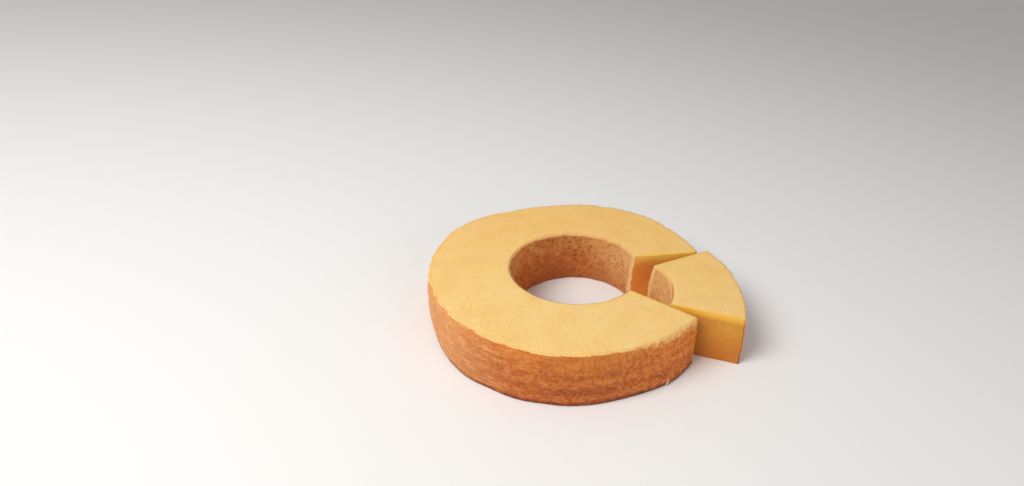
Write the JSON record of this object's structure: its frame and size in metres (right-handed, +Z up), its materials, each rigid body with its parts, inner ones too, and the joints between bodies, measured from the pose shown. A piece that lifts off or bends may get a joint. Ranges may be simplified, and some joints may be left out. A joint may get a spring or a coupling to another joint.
{
  "type": "baumkuchen",
  "caption": "Ring-shaped layer cake with a browned, wrinkled crust, a cut golden top, an open centre hole and a slice drawn part of the way out of its gap.",
  "frame": {"origin": "middle of the whole cake's box, on the flat base it rests on", "axes": "+Z up out of the cut top; +X along the longest extent, towards the drawn slice; +Y to the back of the ring"},
  "size_m": [0.1712, 0.155, 0.0305],
  "materials": {
    "golden_cake": "matt fine crumb on the cut faces, browned satin crust on the side and in the hole"
  },
  "bodies": {
    "root": {"ring": "golden_cake", "slice": "golden_cake"}
  },
  "joints": []
}
